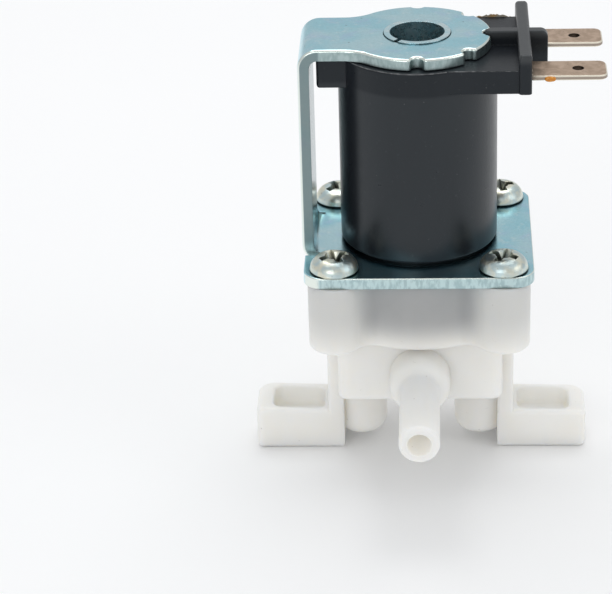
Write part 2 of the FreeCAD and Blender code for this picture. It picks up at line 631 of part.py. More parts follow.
def spring_rise(turns, open_pitch):
    """Height of the spring's centre line after some turns, with closed coils at both ends."""
    open_turns = SPRING_TURNS - 2 * CLOSED_TURNS
    opened = min(max(turns - CLOSED_TURNS, 0), open_turns)
    return opened * open_pitch + (turns - opened) * CLOSED_PITCH


def plunger_spring():
    """Return spring, one smooth wire from the seat in the plunger to the crown of the guide tube."""
    gap, points_per_turn = 0.01, 12
    z0 = SPRING_SEAT_Z + SPRING_WIRE_R + gap
    height = TUBE_TOP_Z - TUBE_CROWN - SPRING_WIRE_R - gap - z0
    closed = 2 * CLOSED_TURNS
    open_pitch = (height - closed * CLOSED_PITCH) / (SPRING_TURNS - closed)
    points = []
    for n in range(SPRING_TURNS * points_per_turn + 1):
        turns = n / points_per_turn
        points.append(polar(SPRING_R, 360 * turns) + V(0, 0, z0 + spring_rise(turns, open_pitch)))
    curve = Part.BSplineCurve()
    curve.interpolate(points)
    start_direction = curve.tangent(curve.FirstParameter)[0]
    section = Part.Wire(Part.makeCircle(SPRING_WIRE_R, points[0], start_direction))
    return Part.Wire(curve.toShape()).makePipeShell([section], True, False)


def diaphragm():
    """Rubber disc: a clamped bead at the rim, a thin dished web and a thick centre on the seat."""
    bead_in, centre_r, web = 10.0, 5.0, 0.7
    bottom_z, centre_top = SEAT_Z + 0.01, SEAT_Z + 1.5
    web_z = LEDGE_Z + 0.35
    solid = turned([(INSERT_R, bottom_z), (centre_r, bottom_z), (centre_r + 0.8, SEAT_Z + 0.5),
                    (bead_in - 1.2, web_z), (bead_in, web_z), (bead_in, LEDGE_Z),
                    (TUBE_FLANGE_R, LEDGE_Z), (TUBE_FLANGE_R, TUBE_FLANGE_Z),
                    (bead_in, TUBE_FLANGE_Z), (bead_in, web_z + web), (bead_in - 1.3, web_z + web),
                    (centre_r + 0.5, centre_top), (INSERT_R, centre_top)])
    bleed_hole = cylinder(0.3, SEAT_Z - 4, SEAT_Z + 6, -RISER_Y, 0)
    return solid.cut(bleed_hole)


def inlet_strainer():
    """Perforated cup pushed into the inlet stem to keep grit from the pilot hole."""
    r, y0, y1 = STEM_BORE_R - 0.02, -13.0, -10.6
    wall, hole_r, hole_ring_r, holes = 0.35, 0.28, 0.95, 6
    cup = rod_y(r, y0, y1, z=STEM_Z).cut(rod_y(r - wall, y0 - 1, y1 - 0.5, z=STEM_Z))
    cup = cup.cut(rod_y(hole_r, y0, y1 + 1, z=STEM_Z))
    for n in range(holes):
        spot = polar(hole_ring_r, 360 / holes * n)
        cup = cup.cut(rod_y(hole_r, y0, y1 + 1, x=spot.x, z=STEM_Z + spot.y))
    return cup


def diaphragm_insert():
    """Moulded hub of the diaphragm, with the pilot nozzle on top and a snap rim below."""
    top = SEAT_Z + 1.51
    hub_r, snap_r, snap_z, flange_r = INSERT_R - 0.05, 2.0, SEAT_Z - 0.9, 5.2
    solid = turned([(0, snap_z), (snap_r - 0.4, snap_z), (snap_r, SEAT_Z), (hub_r, SEAT_Z),
                    (hub_r, top), (flange_r, top), (flange_r, top + 0.8), (2.2, top + 1.1),
                    (1.3, PILOT_Z), (0, PILOT_Z)])
    pilot_hole = cylinder(0.45, snap_z - 1, PILOT_Z + 1)
    return solid.cut(pilot_hole)


# ---- Output ----
def build():
    return {
        "valve_body": valve_body(),
        "body_screws": body_screws(),
        "yoke_frame": yoke_frame(),
        "coil_shell": coil_shell(),
        "bobbin": bobbin(),
        "winding": winding(),
        "winding_tape": winding_tape(),
        "terminal_front": blade(-1),
        "terminal_rear": blade(1),
        "lead_front": lead(-1),
        "lead_rear": lead(1),
        "upper_flux_sleeve": flux_sleeve(UPPER_SLEEVE_Z, SLEEVE_TOP_Z, 231),
        "lower_flux_sleeve": flux_sleeve(BODY_TOP_Z, LOWER_SLEEVE_TOP_Z, 180),
        "guide_tube": guide_tube(),
        "plunger": plunger(),
        "plunger_seal": plunger_seal(),
        "plunger_spring": plunger_spring(),
        "diaphragm": diaphragm(),
        "diaphragm_insert": diaphragm_insert(),
        "inlet_strainer": inlet_strainer(),
    }


def main():
    os.makedirs("parts", exist_ok=True)
    for name, shape in build().items():
        solids = shape.Solids
        assert solids and all(s.isValid() and s.Volume > 0 for s in solids), name
        shape = solids[0] if len(solids) == 1 else Part.makeCompound(solids)
        shape.exportStep("parts/" + name + ".step")
        box = shape.BoundBox
        print(f"{name:18s} {len(solids)} {shape.Volume:9.1f} mm3, z {box.ZMin:6.2f} to {box.ZMax:6.2f}")


main()
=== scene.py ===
"""Solenoid valve: looks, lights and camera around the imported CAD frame, all in metres."""

import json
import math
import random

import bmesh
import bpy
from mathutils import Matrix, Vector


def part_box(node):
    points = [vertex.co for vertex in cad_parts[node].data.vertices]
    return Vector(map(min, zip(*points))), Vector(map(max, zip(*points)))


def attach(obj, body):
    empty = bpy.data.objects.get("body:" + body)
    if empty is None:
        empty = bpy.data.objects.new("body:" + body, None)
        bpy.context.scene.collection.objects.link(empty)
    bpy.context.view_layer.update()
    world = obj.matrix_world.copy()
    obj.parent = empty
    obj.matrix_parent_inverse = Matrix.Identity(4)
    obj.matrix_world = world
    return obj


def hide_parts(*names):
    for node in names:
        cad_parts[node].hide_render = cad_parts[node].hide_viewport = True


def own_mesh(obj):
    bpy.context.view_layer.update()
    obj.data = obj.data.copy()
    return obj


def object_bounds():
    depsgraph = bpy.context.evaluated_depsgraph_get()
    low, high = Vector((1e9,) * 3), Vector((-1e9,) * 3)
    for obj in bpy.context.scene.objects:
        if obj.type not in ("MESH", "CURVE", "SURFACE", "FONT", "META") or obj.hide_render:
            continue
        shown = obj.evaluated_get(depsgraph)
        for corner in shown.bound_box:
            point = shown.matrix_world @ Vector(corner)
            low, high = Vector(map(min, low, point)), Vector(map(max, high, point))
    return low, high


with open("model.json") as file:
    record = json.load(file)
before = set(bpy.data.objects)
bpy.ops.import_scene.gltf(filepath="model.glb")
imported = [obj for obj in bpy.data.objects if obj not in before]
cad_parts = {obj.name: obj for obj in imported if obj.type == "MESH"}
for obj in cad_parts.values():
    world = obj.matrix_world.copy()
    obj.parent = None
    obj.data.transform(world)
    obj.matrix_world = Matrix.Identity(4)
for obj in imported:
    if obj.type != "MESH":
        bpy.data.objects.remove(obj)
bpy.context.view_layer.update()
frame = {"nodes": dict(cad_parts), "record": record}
NODES = frame["nodes"]
MM = 0.001
UP = Vector((0, 0, 1))


# ---- Places on the valve, in millimetres, as in the CAD source ----
STEM_Z = 18.2
STEM_BORE_R = 1.9
STEM_END_Y = 36.0
CHAMBER_R = 15.9
BODY_BLOCK_Z = 23.8       # underside of the square top of the body
PLATE_TOP_Z = 37.1
STRAP_BEND_X = -15.4      # the strap and its bends lie beyond this
COIL_R = 12.5
COIL_TOP_Z = 69.6
COIL_BLOCK_Z = 65.85      # underside of the terminal block
COIL_BLOCK_Y = 11.6       # sides of the terminal block
BARRIER_END_X = 17.5
BARRIER_TOP_Z = 72.2
BLADE_Y = 6.9
BLADE_HALF_W = 3.15
BLADE_TOP_Z = 68.1
BLADE_HOLE_X = 24.7
BLADE_HOLE_R = 0.85


# ---- Camera ----
CAMERA_AT = Vector((0.0033347, -0.3931669, 0.2234034))
CAMERA_YAW = 3.1934       # degrees to the left of +Y
CAMERA_PITCH = 26.6727    # degrees down
CAMERA_ROLL = -1.7948     # degrees
CAMERA_LENS = 158.45      # on a 36 mm sensor


def make_camera():
    """Camera fitted to the photo."""
    yaw, pitch, roll = (math.radians(a) for a in (CAMERA_YAW, CAMERA_PITCH, CAMERA_ROLL))
    forward = Vector((-math.sin(yaw) * math.cos(pitch), math.cos(yaw) * math.cos(pitch),
                      -math.sin(pitch)))
    level = forward.cross(UP).normalized()
    upright = level.cross(forward)
    right = level * math.cos(roll) + upright * math.sin(roll)
    up = upright * math.cos(roll) - level * math.sin(roll)
    data = bpy.data.cameras.new("camera")
    data.lens = CAMERA_LENS
    data.sensor_width = 36.0
    data.clip_start = 0.01
    data.clip_end = 20.0
    camera = bpy.data.objects.new("camera", data)
    bpy.context.scene.collection.objects.link(camera)
    turn = Matrix((right, up, -forward)).transposed().to_4x4()
    camera.matrix_world = Matrix.Translation(CAMERA_AT) @ turn
    bpy.context.scene.camera = camera


# ---- Material helper ----
class Paint:
    """A node material being built. Coordinates are object space, in metres."""

    def __init__(self, name):
        self.material = bpy.data.materials.new(name)
        self.material.use_nodes = True
        self.tree = self.material.node_tree
        self.shader = self.tree.nodes["Principled BSDF"]
        self.place = self.node("ShaderNodeTexCoord").outputs["Object"]
        self.facing = self.node("ShaderNodeNewGeometry").outputs["Normal"]

    def node(self, kind, **values):
        made = self.tree.nodes.new(kind)
        for key, value in values.items():
            setattr(made, key, value)
        return made

    def feed(self, socket, value):
        """Link another node's output, or set a fixed value."""
        if isinstance(value, bpy.types.NodeSocket):
            self.tree.links.new(value, socket)
        elif isinstance(value, tuple) and len(value) == 3 and socket.type == "RGBA":
            socket.default_value = (*value, 1.0)
        else:
            socket.default_value = value

    def set(self, **values):
        for key, value in values.items():
            self.feed(self.shader.inputs[key.replace("_", " ")], value)

    def stretched(self, x, y, z):
        """Coordinates scaled along each axis, for noise that is longer one way."""
        mapping = self.node("ShaderNodeMapping")
        self.feed(mapping.inputs["Vector"], self.place)
        self.feed(mapping.inputs["Scale"], (x, y, z))
        return mapping.outputs["Vector"]

    def noise(self, size_mm, detail=3.0, vector=None, distortion=0.0):
        """Soft random patches, 0 to 1."""
        made = self.node("ShaderNodeTexNoise")
        self.feed(made.inputs["Vector"], vector or self.place)
        self.feed(made.inputs["Scale"], 1.0 / (size_mm * MM))
        self.feed(made.inputs["Detail"], detail)
        self.feed(made.inputs["Roughness"], 0.55)
        self.feed(made.inputs["Distortion"], distortion)
        return made.outputs[0]

    def cells(self, size_mm):
        """Distance to the nearest of many scattered points."""
        made = self.node("ShaderNodeTexVoronoi")
        self.feed(made.inputs["Vector"], self.place)
        self.feed(made.inputs["Scale"], 1.0 / (size_mm * MM))
        return made.outputs["Distance"]

    def maths(self, operation, a, b=0.0, clamp=False):
        made = self.node("ShaderNodeMath", operation=operation, use_clamp=clamp)
        self.feed(made.inputs[0], a)
        self.feed(made.inputs[1], b)
        return made.outputs[0]

    def times(self, a, b):
        return self.maths("MULTIPLY", a, b)

    def plus(self, a, b):
        return self.maths("ADD", a, b)

    def distance(self, a, b):
        """Length of the vector (a, b)."""
        squares = self.plus(self.maths("POWER", a, 2.0), self.maths("POWER", b, 2.0))
        return self.maths("SQRT", squares)

    def band(self, value, low, high):
        """Smooth step of value, 0 at low and 1 at high. High can be the smaller number."""
        made = self.node("ShaderNodeMapRange", interpolation_type="SMOOTHSTEP")
        self.feed(made.inputs["From Min"], low)
        self.feed(made.inputs["From Max"], high)
        self.feed(made.inputs["Value"], value)
        return made.outputs["Result"]

    def band_mm(self, value, low, high):
        return self.band(value, low * MM, high * MM)

    # A mix node has one pair of inputs and one output for each type: numbers are 2, 3 and 0, and
    # colours are 6, 7 and 2.
    def mix(self, amount, a, b):
        """Colour a, turning to colour b as amount goes to 1."""
        made = self.node("ShaderNodeMix", data_type="RGBA")
        self.feed(made.inputs["Factor"], amount)
        self.feed(made.inputs[6], a)
        self.feed(made.inputs[7], b)
        return made.outputs[2]

    def blend(self, amount, a, b):
        """Number a, turning to number b as amount goes to 1."""
        made = self.node("ShaderNodeMix", data_type="FLOAT")
        self.feed(made.inputs["Factor"], amount)
        self.feed(made.inputs[2], a)
        self.feed(made.inputs[3], b)
        return made.outputs[0]

    def axis(self, vector, name):
        made = self.node("ShaderNodeSeparateXYZ")
        self.feed(made.inputs[0], vector)
        return made.outputs[name]

    def softened(self, radius_mm):
        """Normal rounded over sharp edges."""
        made = self.node("ShaderNodeBevel", samples=6)
        self.feed(made.inputs["Radius"], radius_mm * MM)
        return made.outputs["Normal"]

    def crevice_shade(self, reach_mm, low=0.35, high=0.85):
        """Painted shade mask: 1 deep inside recesses and along tight seams, 0 on open faces."""
        made = self.node("ShaderNodeAmbientOcclusion", samples=8)
        self.feed(made.inputs["Distance"], reach_mm * MM)
        return self.band(made.outputs["AO"], high, low)

    def bump(self, height, depth_mm, normal=None):
        made = self.node("ShaderNodeBump")
        self.feed(made.inputs["Height"], height)
        self.feed(made.inputs["Distance"], depth_mm * MM)
        self.feed(made.inputs["Strength"], 1.0)
        if normal is not None:
            self.feed(made.inputs["Normal"], normal)
        return made.outputs["Normal"]


# ---- Materials ----
def zinc(name):
    """Blue-passivated zinc on sheet steel, with painted highlights on the rolled edges, painted
    shade in crevices and on the strap's inner face, and rougher sheared walls.
    """
    p = Paint(name)
    x = p.axis(p.place, "X")
    up = p.maths("ABSOLUTE", p.axis(p.facing, "Z"))
    lengthwise = p.maths("POWER", p.axis(p.facing, "Y"), 2.0)
    side = p.maths("SQRT", p.maths("SUBTRACT", 1.0, lengthwise, clamp=True))
    on_strap = p.band_mm(x, STRAP_BEND_X + 0.4, STRAP_BEND_X)
    flat = p.maths("MAXIMUM", up, p.times(side, on_strap))
    wall = p.band(flat, 0.45, 0.1)
    # Painted highlight: the rounded rolled edges, picked by their slope, are tinted pale cream.
    roll = p.times(p.band(flat, 0.99, 0.88), p.band(flat, 0.12, 0.35))
    tint = p.mix(p.band(p.noise(9.0, 2.0), 0.38, 0.62), (0.41, 0.75, 0.85), (0.55, 0.80, 0.86))
    tint = p.mix(p.band(p.noise(5.0, 3.0, distortion=0.4), 0.50, 0.90), tint, (0.50, 0.66, 0.90))
    grain = p.band(p.noise(0.35, 2.0), 0.30, 0.75)
    tint = p.mix(grain, p.mix(0.12, tint, (0.20, 0.30, 0.34)), tint)
    bloom = p.band(p.noise(1.3, 5.0), 0.52, 0.74)
    tint = p.mix(p.times(bloom, 0.35), tint, (0.78, 0.88, 0.88))
    tint = p.mix(p.times(roll, 0.8), tint, (0.90, 0.91, 0.82))
    streaks = p.noise(0.5, 3.0, vector=p.stretched(1.0, 1.0, 0.4))
    wall_tint = p.mix(p.band(streaks, 0.35, 0.65), (0.30, 0.38, 0.37), (0.42, 0.50, 0.49))
    z = p.axis(p.place, "Z")
    strap_wall = p.times(on_strap, p.band_mm(z, PLATE_TOP_Z + 0.3, PLATE_TOP_Z + 2.4))
    wall_tint = p.mix(strap_wall, wall_tint, (0.19, 0.235, 0.235))
    plate_edge = p.mix(p.band(streaks, 0.38, 0.62), (0.40, 0.52, 0.53), (0.56, 0.69, 0.69))
    wall_tint = p.mix(p.band_mm(z, PLATE_TOP_Z + 0.1, PLATE_TOP_Z - 0.3), wall_tint, plate_edge)
    tint = p.mix(p.times(wall, 0.9), tint, wall_tint)
    # Painted shade: the strap's inner face, turned to the coil, is darkened.
    strap_inner_shade = p.times(strap_wall, p.band(p.axis(p.facing, "X"), 0.5, 0.8))
    tint = p.mix(p.times(strap_inner_shade, 0.85), tint, (0.20, 0.245, 0.25))
    spots = p.band(p.cells(2.6), 0.10, 0.02)
    tint = p.mix(p.times(spots, 0.45), tint, (0.10, 0.12, 0.13))
    # Painted shade: near black in crevices and along seams, such as where screws and coil meet the
    # plate.
    tint = p.mix(p.times(p.crevice_shade(0.9), 0.8), tint, (0.035, 0.04, 0.04))
    rough = p.blend(p.noise(1.2, 4.0), 0.14, 0.27)
    rough = p.plus(rough, p.times(wall, 0.2))
    height = p.plus(p.noise(0.5, 4.0), p.times(p.noise(3.5, 2.0), 1.6))
    height = p.plus(height, p.times(wall, streaks))
    p.set(Base_Color=tint, Metallic=1.0, Roughness=rough)
    p.set(Normal=p.bump(height, 0.012, p.softened(0.15)))
    return p.material


def bright_steel(name, tint_a, tint_b, rough_low, rough_high, grain_mm=0.5, depth_mm=0.02,
                 soft_mm=0.1):
    """Plated or polished steel, with painted shade darkening its recesses."""
    p = Paint(name)
    tint = p.mix(p.band(p.noise(2.2, 3.0, distortion=0.8), 0.35, 0.68), tint_a, tint_b)
    tint = p.mix(p.band(p.noise(0.5, 3.0), 0.64, 0.78), tint, (0.30, 0.30, 0.28))
    # Painted shade: near black deep in recesses and seams.
    tint = p.mix(p.times(p.crevice_shade(1.3), 0.9), tint, (0.03, 0.032, 0.03))
    rough = p.blend(p.noise(0.9, 4.0), rough_low, rough_high)
    height = p.plus(p.noise(grain_mm, 4.0), p.times(p.noise(1.8, 2.0), 1.5))
    p.set(Base_Color=tint, Metallic=1.0, Roughness=rough)
    p.set(Normal=p.bump(height, depth_mm, p.softened(soft_mm)))
    return p.material


def stem_bore_light_mask(p):
    """Mask for painted light: 1 on the wall of the bore near the open end of a stem."""
    off_axis = p.maths("SUBTRACT", p.axis(p.place, "Z"), STEM_Z * MM)
    radius = p.distance(p.axis(p.place, "X"), off_axis)
    along = p.maths("ABSOLUTE", p.axis(p.place, "Y"))
    in_bore = p.band_mm(radius, STEM_BORE_R + 0.2, STEM_BORE_R + 0.05)
    return p.times(in_bore, p.band_mm(along, STEM_END_Y - 16.0, STEM_END_Y - 6.0))


def white_body(name):
    """Natural moulded plastic, translucent and warm, with fine scratches. Painted shade darkens
    the top of the body and its thin chamber wall over the dark rubber and flange; the stem bore
    has painted light."""
    p = Paint(name)
    tint = p.mix(p.noise(7.0, 2.0), (0.845, 0.828, 0.785), (0.895, 0.882, 0.85))
    z = p.axis(p.place, "Z")
    radius = p.distance(p.axis(p.place, "X"), p.axis(p.place, "Y"))
    # Painted shade on the thin chamber wall, where the dark rubber and flange lie behind it.
    thin = p.times(p.band_mm(radius, CHAMBER_R + 2.5, CHAMBER_R - 0.1),
                   p.band_mm(z, BODY_BLOCK_Z + 0.2, BODY_BLOCK_Z + 5.7))
    thin = p.times(thin, p.blend(p.noise(5.0, 2.0), 0.62, 0.82))
    # Painted shade: the top of the body, under the yoke plate, is darkened.
    upper_block_shade = p.band_mm(z, BODY_BLOCK_Z - 0.8, BODY_BLOCK_Z + 7.2)
    tint = p.mix(upper_block_shade, tint, (0.66, 0.66, 0.64))
    tint = p.mix(thin, tint, (0.33, 0.335, 0.34))
    scratch = p.noise(1.6, 2.0, vector=p.stretched(0.5, 1.0, 3.0), distortion=2.5)
    scratch = p.band(scratch, 0.735, 0.765)
    specks = p.band(p.cells(3.4), 0.055, 0.02)
    tint = p.mix(p.times(specks, 0.35), tint, (0.32, 0.27, 0.22))
    tint = p.mix(p.times(scratch, 0.18), tint, (0.40, 0.37, 0.33))
    rough = p.blend(p.noise(1.0, 4.0), 0.32, 0.46)
    height = p.plus(p.noise(0.6, 3.0), p.times(p.noise(5.0, 1.0), 4.0))
    height = p.maths("SUBTRACT", height, p.times(scratch, 1.2))
    p.set(Base_Color=tint, Roughness=rough, IOR=1.45, Subsurface_Weight=1.0,
          Subsurface_Scale=3.0 * MM, Subsurface_Radius=(1.0, 0.94, 0.84))
    # Painted light: the bore near the open end of the stem glows by emission.
    painted_bore_light = p.times(stem_bore_light_mask(p), p.blend(p.noise(1.5), 0.07, 0.12))
    p.set(Emission_Color=(1.0, 0.965, 0.90), Emission_Strength=painted_bore_light)
    p.set(Normal=p.bump(height, 0.012, p.softened(0.35)))
    return p.material


def charcoal(name):
    """Dark moulded cover, satin, with faint flow marks and rubbed spots. It is less shiny from the
    terminal block up, and the tops of the barriers are paler."""
    p = Paint(name)
    flow = p.noise(6.0, 3.0, vector=p.stretched(1.0, 1.0, 0.22), distortion=0.6)
    tint = p.mix(flow, (0.0085, 0.0105, 0.0135), (0.014, 0.0165, 0.0205))
    rub = p.times(p.band(p.noise(0.7, 4.0), 0.62, 0.78), 0.25)
    tint = p.mix(rub, tint, (0.06, 0.064, 0.068))
    z = p.axis(p.place, "Z")
    barrier_top = p.band_mm(z, BARRIER_TOP_Z - 1.8, BARRIER_TOP_Z - 0.6)
    tint = p.mix(p.times(barrier_top, 0.55), tint, (0.075, 0.078, 0.08))
    dust = p.band(p.cells(2.3), 0.06, 0.02)
    tint = p.mix(p.times(dust, 0.2), tint, (0.20, 0.20, 0.20))
    rough = p.blend(p.noise(1.5, 4.0), 0.24, 0.36)
    height = p.plus(p.noise(0.35, 3.0), p.times(flow, 3.0))
    gloss = p.blend(p.band_mm(z, COIL_BLOCK_Z - 0.65, COIL_BLOCK_Z + 0.15), 0.44, 0.27)
    p.set(Base_Color=tint, Roughness=rough, IOR=1.5, Specular_IOR_Level=gloss,
          Specular_Tint=(0.90, 0.97, 1.0))
    p.set(Normal=p.bump(height, 0.012, p.softened(0.2)))
    return p.material


def tarnished_brass(name):
    """Tinned brass blade, browned, with brighter bevels and a root darker near the barrier.
    Painted shade darkens its recesses and its hole.
    """
    p = Paint(name)
    flat = p.maths("ABSOLUTE", p.axis(p.facing, "Z"))
    x = p.axis(p.place, "X")
    stain = p.noise(1.8, 4.0, distortion=1.0)
    tint = p.mix(p.band(stain, 0.3, 0.7), (0.40, 0.285, 0.20), (0.54, 0.405, 0.305))
    tint = p.mix(p.band(p.noise(0.4, 3.0), 0.60, 0.78), tint, (0.26, 0.20, 0.155))
    bevel = p.times(p.band(flat, 0.92, 0.78), p.band(flat, 0.35, 0.55))
    tint = p.mix(bevel, tint, (0.85, 0.79, 0.66))
    tint = p.mix(p.band(flat, 0.5, 0.3), tint, (0.36, 0.30, 0.25))
    ragged_x = p.plus(x, p.times(stain, 2.5 * MM))
    # Darker towards the barrier, with a ragged edge.
    root = p.band_mm(ragged_x, BARRIER_END_X + 3.8, BARRIER_END_X + 1.5)
    tint = p.mix(p.times(root, 0.55), tint, (0.24, 0.20, 0.16))
    # Painted shade: near black in recesses and along seams.
    tint = p.mix(p.times(p.crevice_shade(1.6, 0.3, 0.75), 0.9), tint, (0.04, 0.03, 0.022))
    off_x = p.maths("SUBTRACT", x, BLADE_HOLE_X * MM)
    off_y = p.maths("SUBTRACT", p.maths("ABSOLUTE", p.axis(p.place, "Y")), BLADE_Y * MM)
    # Painted shade: the wall of the blade's hole is darkened.
    hole_shade = p.band_mm(p.distance(off_x, off_y), BLADE_HOLE_R + 0.13, BLADE_HOLE_R + 0.03)
    tint = p.mix(hole_shade, tint, (0.06, 0.042, 0.03))
    rough = p.blend(stain, 0.30, 0.48)
    height = p.plus(p.noise(0.6, 4.0, vector=p.stretched(0.3, 1.0, 1.0)), p.noise(0.2, 2.0))
    p.set(Base_Color=tint, Metallic=0.85, Roughness=rough)
    p.set(Normal=p.bump(height, 0.015, p.softened(0.08)))
    return p.material


def amber(name):
    """Hardened coil varnish."""
    p = Paint(name)
    tint = p.mix(p.band(p.noise(0.7, 2.0), 0.35, 0.65), (0.58, 0.20, 0.015), (0.72, 0.32, 0.04))
    p.set(Base_Color=tint, Roughness=p.blend(p.noise(0.5), 0.12, 0.3), Subsurface_Weight=0.12,
          Subsurface_Scale=0.5 * MM, IOR=1.52)
    p.set(Normal=p.bump(p.noise(0.4, 2.0), 0.03))
    return p.material


def flash_resin(name):
    """Thin ragged moulding flash, rubbed pale, ochre where the varnish soaked in."""
    p = Paint(name)
    soak = p.band(p.noise(1.3, 3.0), 0.42, 0.60)
    tint = p.mix(soak, (0.50, 0.45, 0.36), (0.56, 0.36, 0.16))
    p.set(Base_Color=tint, Roughness=p.blend(p.noise(0.4), 0.4, 0.65))
    p.set(Normal=p.bump(p.noise(0.15, 3.0), 0.03))
    return p.material


def grey_flash(name):
    """Thin moulding flash in the coil's own material, scuffed lighter."""
    p = Paint(name)
    tint = p.mix(p.band(p.noise(0.8, 4.0), 0.40, 0.62), (0.055, 0.058, 0.062), (0.15, 0.155, 0.16))
    p.set(Base_Color=tint, Roughness=p.blend(p.noise(0.3), 0.4, 0.6))
    p.set(Normal=p.bump(p.noise(0.12, 3.0), 0.02))
    return p.material


def plain_polymer(name, tint_a, tint_b, rough_low, rough_high):
    """Plastic or rubber with a faint grain, for the hidden pieces."""
    p = Paint(name)
    tint = p.mix(p.band(p.noise(2.5, 3.0), 0.35, 0.65), tint_a, tint_b)
    p.set(Base_Color=tint, Roughness=p.blend(p.noise(1.1, 4.0), rough_low, rough_high))
    p.set(Normal=p.bump(p.noise(0.5, 4.0), 0.02, p.softened(0.15)))
    return p.material


def wound_copper(name):
    """Enamelled copper wire, drawn as fine turns round the coil axis."""
    p = Paint(name)
    turns = p.node("ShaderNodeTexWave", wave_type="BANDS", bands_direction="Z")
    p.feed(turns.inputs["Vector"], p.place)
    p.feed(turns.inputs["Scale"], 1500.0)
    p.feed(turns.inputs["Distortion"], 0.4)
    tint = p.mix(p.noise(2.0), (0.62, 0.22, 0.09), (0.78, 0.34, 0.15))
    p.set(Base_Color=tint, Metallic=0.9, Roughness=p.blend(p.noise(0.8), 0.2, 0.35))
    p.set(Normal=p.bump(turns.outputs["Fac"], 0.05))
    return p.material


def floor_paper(name):
    """Matt white paper."""
    p = Paint(name)
    tint = p.mix(p.noise(60.0, 2.0), (0.95, 0.95, 0.95), (0.965, 0.965, 0.965))
    p.set(Base_Color=tint, Roughness=0.7)
    p.set(Normal=p.bump(p.noise(1.0, 3.0), 0.01))
    return p.material


def make_finishes():
    """One material for each material slot of the record."""
    return {
        "body_plastic": white_body("white_body_plastic"),
        "screw_steel": bright_steel("screw_zinc", (0.82, 0.81, 0.67), (0.56, 0.68, 0.69),
                                    0.22, 0.42, 0.6, 0.06, 0.12),
        "yoke_steel": zinc("yoke_zinc"),
        "coil_plastic": charcoal("coil_charcoal"),
        "bobbin_plastic": plain_polymer("bobbin_nylon", (0.55, 0.52, 0.44), (0.62, 0.59, 0.50),
                                        0.4, 0.55),
        "copper_wire": wound_copper("wound_copper"),
        "winding_tape": plain_polymer("polyester_tape", (0.70, 0.52, 0.12), (0.78, 0.60, 0.18),
                                      0.25, 0.4),
        "terminal_brass": tarnished_brass("terminal_tinned_brass"),
        "sleeve_steel": bright_steel("sleeve_zinc", (0.48, 0.70, 0.76), (0.66, 0.78, 0.80),
                                     0.2, 0.36),
        "tube_plastic": plain_polymer("guide_tube_nylon", (0.018, 0.026, 0.030),
                                      (0.035, 0.045, 0.050), 0.3, 0.45),
        "plunger_steel": bright_steel("plunger_stainless", (0.60, 0.60, 0.58),
                                      (0.66, 0.66, 0.65), 0.2, 0.32),
        "seal_rubber": plain_polymer("seal_rubber", (0.02, 0.02, 0.02), (0.04, 0.04, 0.04),
                                     0.6, 0.8),
        "spring_steel": bright_steel("spring_wire", (0.58, 0.58, 0.56), (0.66, 0.66, 0.65),
                                     0.2, 0.3),
        "diaphragm_rubber": plain_polymer("diaphragm_rubber", (0.02, 0.02, 0.021),
                                          (0.05, 0.05, 0.05), 0.6, 0.8),
        "insert_plastic": plain_polymer("insert_acetal", (0.72, 0.72, 0.70), (0.80, 0.80, 0.78),
                                        0.35, 0.5),
    }


def dress_nodes(finishes):
    """Put each finish on the CAD nodes that the record gives its slot to."""
    for part in frame["record"]["subparts"]:
        for holder in NODES[part["node"]].material_slots:
            holder.material = finishes[part["material_slot"]]


# ---- Pieces ----
def mesh_object(name, mesh, material):
    """Object in the scene made from a bmesh, which is freed."""
    data = bpy.data.meshes.new(name)
    mesh.to_mesh(data)
    mesh.free()
    data.materials.append(material)
    made = bpy.data.objects.new(name, data)
    bpy.context.scene.collection.objects.link(made)
    return made


def mesh_piece(name, mesh, material, smooth=True):
    """Piece of the valve that stays with the housing."""
    piece = mesh_object(name, mesh, material)
    for face in piece.data.polygons:
        face.use_smooth = smooth
    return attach(piece, "housing")


def around(degrees):
    """Direction at an angle about the coil axis."""
    angle = math.radians(degrees)
    return Vector((math.cos(angle), math.sin(angle), 0))


def solid_from_rings(name, rings, material, closed=False, smooth=True):
    """Solid skinned over a run of equal point rings. A closed run joins back to its start."""
    mesh = bmesh.new()
    loops = [[mesh.verts.new(point) for point in ring] for ring in rings]
    count = len(loops[0])
    pairs = list(zip(loops, loops[1:] + loops[:1])) if closed else list(zip(loops, loops[1:]))
    for here, there in pairs:
        for n in range(count):
            after = (n + 1) % count
            mesh.faces.new((here[n], here[after], there[after], there[n]))
    if not closed:
        mesh.faces.new(loops[0])
        mesh.faces.new(loops[-1])
    bmesh.ops.recalc_face_normals(mesh, faces=mesh.faces)
    return mesh_piece(name, mesh, material, smooth)


def ragged_lip(name, path, height_mm, thick_mm, seed, material):
    """Thin moulding flash along a path of (point, outward direction), torn to uneven heights."""
    chance = random.Random(seed)
    level = 0.5
    rings = []
    for foot, out in path:
        level = min(1.0, max(0.15, level + chance.uniform(-0.22, 0.22)))
        top = foot + UP * height_mm * level * MM + out * chance.uniform(-0.03, 0.03) * MM
        thick = out * thick_mm * MM
        rings.append((foot, foot + thick, top + thick * 0.6, top))
    solid_from_rings(name, rings, material, smooth=False)


def straight_path(start, end, out, steps):
    """Path along a line, for ragged_lip."""
    start, end, out = Vector(start) * MM, Vector(end) * MM, Vector(out)
    return [(start.lerp(end, n / steps), out) for n in range(steps + 1)]


def rim_path(radius_mm, z_mm, from_degrees, to_degrees, steps):
    """Path along an arc about the coil axis, for ragged_lip."""
    path = []
    for n in range(steps + 1):
        out = around(from_degrees + (to_degrees - from_degrees) * n / steps)
        path.append((out * radius_mm * MM + UP * z_mm * MM, out))
    return path


